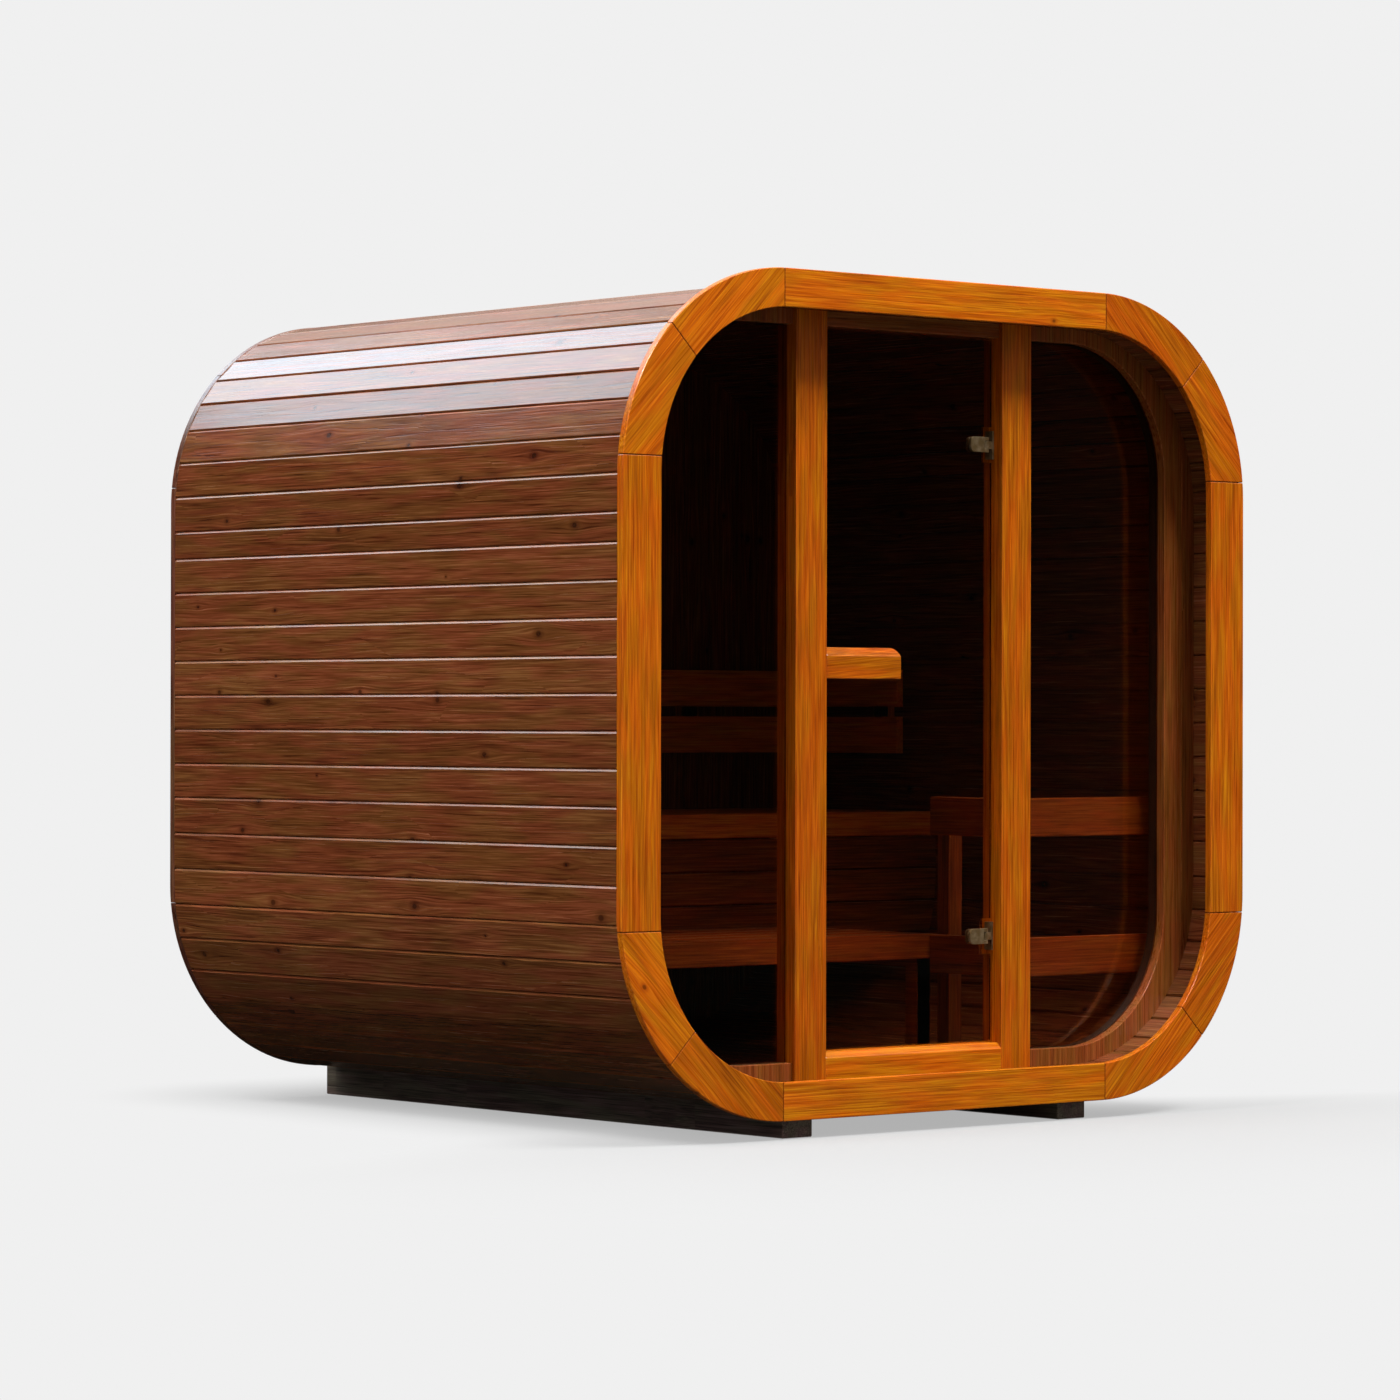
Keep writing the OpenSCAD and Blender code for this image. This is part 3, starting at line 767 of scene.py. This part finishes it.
def add_flat_staves():
    """The staves of the roof's and the floor's flats, side by side from left to right."""
    floor_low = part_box("floor")[0].z
    steps = [shell["flat"] * (2 * i / FLAT_COURSES - 1) for i in range(FLAT_COURSES + 1)]
    up, down = Vector((0, 1)), Vector((0, -1))
    stave_group("staves_roof", [(Vector((-x, shell["top"])), up) for x in steps], ["roof"])
    stave_group("staves_floor", [(Vector((x, floor_low)), down) for x in steps], ["floor"])


def add_back_wall():
    """Upright boards that fill the rear opening, each cut to the rounded outline."""
    low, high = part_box("back_wall")
    middle = (low.z + high.z) / 2
    radius = shell["radius"] - shell["thick"]
    count = round((high.x - low.x) / BACK_BOARD)
    pitch = (high.x - low.x) / count
    bm = bmesh.new()

    def top_at(x):
        over = max(abs(x) - (high.x - radius), 0)
        return high.z - radius + math.sqrt(max(radius ** 2 - over ** 2, 0))

    for i in range(count):
        x0, x1 = low.x + i * pitch + JOINT_GAP, low.x + (i + 1) * pitch - JOINT_GAP
        steps = [x0 + (x1 - x0) * k / BACK_BOARD_STEPS for k in range(BACK_BOARD_STEPS + 1)]
        upper = [Vector((x, top_at(x))) for x in steps]
        lower = [Vector((x, 2 * middle - top_at(x))) for x in reversed(steps)]
        outline = upper[:1]
        for p in upper[1:] + lower:
            if (p - outline[-1]).length > SAME_PLACE:
                outline.append(p)
        prism_along_y(bm, outline, low.y, high.y)
    upright = [e for e in bm.edges if len(e.link_faces) == 2
               and abs(e.verts[0].co.z - e.verts[1].co.z) > SHORTEST_UPRIGHT]
    bmesh.ops.bevel(bm, geom=upright, offset=BACK_BOARD_CHAMFER, segments=1, affect="EDGES",
                    clamp_overlap=True)
    set_grain(bm, along=(0, 0, 1))
    finish_mesh(bm, "back_wall_boards", "cabin", stave_wood, ["back_wall"])


# Rings, front and benches -------------------------------------------------------------

def add_ring_corner(level, side, sign):
    """A quarter of the front ring, whose grain runs straight across its bend."""
    lean = -sign if level == "top" else sign
    turn = (sign * shell["flat"], 0, shell["high_turn" if level == "top" else "low_turn"])
    finished(f"ring_corner_{level}_{side}", ring_wood, rounding=RING_ROUND,
             along=Vector((1, 0, lean)).normalized(), stained=True, turn=turn)


def add_side_pieces(side, sign):
    """What stands on one side: the runner, the rings' uprights, the post, frame and pane."""
    finished("runner_" + side, runner_wood, rounding=SOFT_ROUND)
    finished("ring_" + side, ring_wood, rounding=RING_ROUND, stained=True)
    finished("rear_ring_" + side, rear_wood)
    finished("post_" + side, ring_wood, rounding=RING_ROUND)
    joints = [((sign * x, 0, 0), (1, 0, 0)) for x in FRAME_JOINTS]
    frame_piece = finished("frame_" + side, frame_wood, cuts=joints,
                           along=(0, 0, 1))
    darken_behind_glass(frame_piece, "glass_" + side)
    finished("glass_" + side, [glass], rounding=PANE_ROUND)
    for level in ("top", "bottom"):
        add_ring_corner(level, side, sign)


def add_level_pieces(level):
    """The rings' straight members over the roof or under the floor."""
    finished("ring_" + level, ring_wood, rounding=RING_ROUND, stained=True)
    finished("rear_ring_" + level, rear_wood)


def add_door():
    """The doorway's head and sill, and the glass door with its handle and hinges. The sill is
    painted lighter than the ring, painted light, and the handle darker, painted shade."""
    finished("door_head", frame_wood)
    finished("door_sill", ring_wood, shade=1.5)
    finished("door_glass", [glass], body="door", rounding=PANE_ROUND)
    finished("door_handle", ring_wood, body="door", rounding=SOFT_ROUND,
             shade=-0.6)
    for level in ("upper", "lower"):
        finished("hinge_plate_" + level, [metal], rounding=PLATE_ROUND)
        finished("hinge_clamp_" + level, [metal], body="door",
                 rounding=CLAMP_ROUND)


def add_framed_boards(node, axis, material):
    """Boards and what holds them from behind, sawn apart where they meet."""
    place, normal = Vector(), Vector()
    place[axis], normal[axis] = levels(node, axis)[1], 1
    finished(node, material, cuts=[(place, normal)])


def add_benches():
    """The benches, backrests and guard rails, all of one wood: the upper bench and backrests painted
    paler, painted light, and the lower bench, guard rails, skirt and posts darker, painted shade.
    """
    for node, axis, material in (
            ("upper_bench_frame", 1, bench_wood), ("bench_skirt", 1, shaded_skirt_wood),
            ("lower_bench_frame", 1, shaded_rail_wood), ("backrest_rear", 1, bench_wood),
            ("backrest_right", 0, bench_wood)):
        add_framed_boards(node, axis, material)
    for node, material in (
            ("upper_bench_seat", bench_wood), ("lower_bench_seat", shaded_rail_wood),
            ("guard_front", shaded_rail_wood), ("guard_side", shaded_rail_wood),
            ("guard_posts", shaded_skirt_wood)):
        finished(node, material, rounding=SOFT_ROUND)


# Studio -------------------------------------------------------------------------------

BACKDROP = 0.871
NEAR_BLACK = 0.01

# The floor: its colour as it is looked at and as it lights the sauna from below, and its grit.
FLOOR_SEEN = 0.34
FLOOR_BOUNCE = (0.11, 0.105, 0.1)
FLOOR_RADIUS = 60
FLOOR_SIDES = 96
GRIT_RATE = (40, 40, 40)
GRIT_SHARE = 0.03

# The floor keeps its shadow over a rectangle under the sauna, which reaches this far from the
# middle in X and Y. Outside it the floor fades into the backdrop, from FADE_START to
# FADE_REACH. In front of the sauna the fade reaches FADE_AHEAD further, which comes in softly
# between two places in Y. The backdrop's share of the floor is nowhere under LEAST_FADE.
SHADOW_HALF = (0.45, 0.85, 0)
FADE_START = 0.05
FADE_REACH = 0.75
FADE_AHEAD = 1.3
AHEAD_FROM, AHEAD_TO = -0.4, -1.1
LEAST_FADE = 0.5

# The curtain: a drum of cloth, just over the floor, and its darkest and palest shade, each
# with its place in the folds' pattern.
CURTAIN_RADIUS = 13.0
CURTAIN_HEIGHT = 8.6
CURTAIN_LIFT = 0.002
CURTAIN_SIDES = 128
FOLD_RATE = (0.4, 0.4, 0.09)
CLOTH = ((0.35, (0.0015, 0.0015, 0.001)), (0.65, (0.02, 0.022, 0.017)))

# Light of the dome round the sauna, from the horizon to its top, as heights from 0 to 1.
HORIZON_LIGHT = 0.22
ZENITH_LIGHT = 0.68
DOME_TOP = 0.9

# Soft lamps: name, place, point aimed at, width, height, brightness, colour, and whether the
# lamp lights polished surfaces alone.
WHITE = (1, 1, 1)
COOL = (0.78, 1.02, 1.20)
WARM = (1.12, 0.96, 0.88)
LAMPS = (
    ("front_softbox", (1.6, -7.6, 14.0), (0, 0, 1.2), 5.9, 4.5, 34.0, WHITE, False),
    ("side_softbox", (-8.6, -0.8, 12.7), (0, 0, 1.2), 5.2, 4.0, 30.0, WHITE, False),
    ("sky_softbox", (-1.4, 4.6, 5.6), (-0.6, 0, 1.6), 4.2, 3.0, 4.4, COOL, True),
    ("edge_softbox", (-4.5, 11.0, 8.5), (-1.0, 0, 1.0), 4.2, 4.4, 0.55, WARM, True),
    ("horizon_softbox", (2.4, 4.6, 4.4), (-0.6, 0, 1.9), 3.0, 2.0, 0.8, WARM, True),
)


def grey(level):
    """A plain grey, as the four numbers that a colour socket takes."""
    return (level, level, level, 1)


def seen_directly(g):
    """1 for rays that look at a surface straight, in a mirror or through glass."""
    rays = g.node("LightPath").outputs
    seen = g.math("MAXIMUM", rays["Is Camera Ray"], rays["Is Glossy Ray"])
    seen = g.math("MAXIMUM", seen, rays["Is Transmission Ray"])
    return g.math("MULTIPLY", seen, g.math("LESS_THAN", rays["Diffuse Depth"], 0.5))


def glare_through_glass(g):
    """1 for rays that a surface behind glass mirrors back out, where the dark cloth hangs."""
    rays = g.node("LightPath").outputs
    return g.math("MULTIPLY", rays["Is Transmission Ray"],
                  g.math("GREATER_THAN", rays["Glossy Depth"], 0.5))


def floor_material():
    """Pale and matt near the sauna, and the backdrop's own colour further out."""
    g = new_graph("studio_floor")
    place = g.node("TexCoord").outputs["Object"]
    seen = seen_directly(g)
    colour = g.blend(seen, opaque(FLOOR_BOUNCE), grey(FLOOR_SEEN))
    grit = g.blend(g.noise(place, GRIT_RATE, detail=2), grey(0), grey(1))
    lit = g.node("BsdfDiffuse", {"Color": g.blend(GRIT_SHARE, colour, grit)})
    plain = g.node("Emission", {"Color": grey(BACKDROP)})
    past = g.vector("SUBTRACT", g.vector("ABSOLUTE", place), SHADOW_HALF)
    past = g.vector("LENGTH", g.vector("MAXIMUM", past, (0, 0, 0)))
    ahead = g.smooth(g.parts(place)[1], AHEAD_FROM, AHEAD_TO)
    reach = g.math("MULTIPLY_ADD", ahead, FADE_AHEAD, FADE_REACH)
    far = g.smooth(past, FADE_START, reach)
    far = g.math("MULTIPLY_ADD", far, 1 - LEAST_FADE, LEAST_FADE)
    both = g.shader_mix(g.math("MULTIPLY", far, seen), lit, plain)
    dark = g.node("Emission", {"Color": grey(NEAR_BLACK)})
    return g.finish(g.shader_mix(glare_through_glass(g), both, dark))


def add_floor():
    """A pale floor that fades into the backdrop, and keeps the shadow near the sauna."""
    bm = bmesh.new()
    bmesh.ops.create_circle(bm, cap_ends=True, radius=FLOOR_RADIUS,
                             segments=FLOOR_SIDES)
    floor = new_object(bm, "studio_floor", [floor_material()])


def cloth_material():
    """Dark cloth in long soft folds."""
    g = new_graph("studio_curtain")
    folds = g.noise(g.node("TexCoord").outputs["Object"], FOLD_RATE, detail=3)
    return g.finish(g.node("Emission", {"Color": g.ramp(folds, CLOTH)}))


def add_curtain():
    """A dark cloth round and under the sauna that only polished surfaces mirror, like a
    studio's flags."""
    bm = bmesh.new()
    hung = bmesh.ops.create_cone(bm, cap_ends=False, radius1=CURTAIN_RADIUS,
                                 radius2=CURTAIN_RADIUS, depth=CURTAIN_HEIGHT,
                                 segments=CURTAIN_SIDES)
    bmesh.ops.translate(bm, verts=hung["verts"], vec=(0, 0, CURTAIN_HEIGHT / 2))
    laid = bmesh.ops.create_circle(bm, cap_ends=True, radius=CURTAIN_RADIUS,
                                   segments=CURTAIN_SIDES)
    bmesh.ops.translate(bm, verts=laid["verts"], vec=(0, 0, CURTAIN_LIFT))
    curtain = new_object(bm, "studio_curtain", [cloth_material()])
    for kind in ("camera", "diffuse", "transmission", "volume_scatter", "shadow"):
        setattr(curtain, "visible_" + kind, False)


def add_softbox(name, place, aim, width, height, brightness, colour, sheen_only):
    """A soft lamp of a given brightness per area, aimed at a point."""
    lamp = bpy.data.lights.new(name, "AREA")
    lamp.shape = "RECTANGLE"
    lamp.size, lamp.size_y = width, height
    lamp.energy = brightness * math.pi * width * height
    lamp.color = colour
    softbox = bpy.data.objects.new(name, lamp)
    softbox.location = place
    softbox.rotation_mode = "QUATERNION"
    softbox.rotation_quaternion = (Vector(aim) - Vector(place)).to_track_quat("-Z", "Y")
    softbox.visible_camera = False
    softbox.visible_diffuse = not sheen_only
    bpy.context.scene.collection.objects.link(softbox)


def add_world():
    """A dome that is paler overhead, and shows as the plain backdrop when looked at."""
    g = Graph(bpy.data.worlds.new("studio"))
    bpy.context.scene.world = g.owner
    height = g.smooth(g.parts(g.node("TexCoord").outputs["Generated"])[2], 0.0, DOME_TOP)
    dome = g.ramp(height, [(0, [HORIZON_LIGHT] * 3), (1, [ZENITH_LIGHT] * 3)])
    colour = g.blend(seen_directly(g), dome, grey(BACKDROP))
    colour = g.blend(glare_through_glass(g), colour, grey(NEAR_BLACK))
    g.finish(g.node("Background", {"Color": colour}), "OutputWorld")


def add_camera():
    """The camera at its place, turned by its azimuth, then its pitch, then its roll."""
    azimuth, pitch, roll = (math.radians(a) for a in (CAMERA_AZIMUTH, CAMERA_PITCH, CAMERA_ROLL))
    ahead = Vector((-math.sin(azimuth) * math.cos(pitch), math.cos(azimuth) * math.cos(pitch),
                    math.sin(pitch)))
    level = Vector((math.cos(azimuth), math.sin(azimuth), 0))
    above = level.cross(ahead)
    right = level * math.cos(roll) + above * math.sin(roll)
    up = above * math.cos(roll) - level * math.sin(roll)
    data = bpy.data.cameras.new("camera")
    data.lens = CAMERA_LENS
    data.clip_end = CAMERA_RANGE
    camera = bpy.data.objects.new("camera", data)
    turned = Matrix((right, up, -ahead)).transposed().to_4x4()
    camera.matrix_world = Matrix.Translation(CAMERA_PLACE) @ turned
    bpy.context.scene.collection.objects.link(camera)
    bpy.context.scene.camera = camera


# The whole scene ----------------------------------------------------------------------

add_side_staves("left", LEFT_COURSES)
add_side_staves("right", RIGHT_COURSES)
add_flat_staves()
add_back_wall()
add_side_pieces("left", -1)
add_side_pieces("right", 1)
add_level_pieces("top")
add_level_pieces("bottom")
add_door()
add_benches()

add_floor()
add_curtain()
add_world()
for lamp in LAMPS:
    add_softbox(*lamp)
add_camera()
bpy.context.scene.view_settings.view_transform = "Standard"
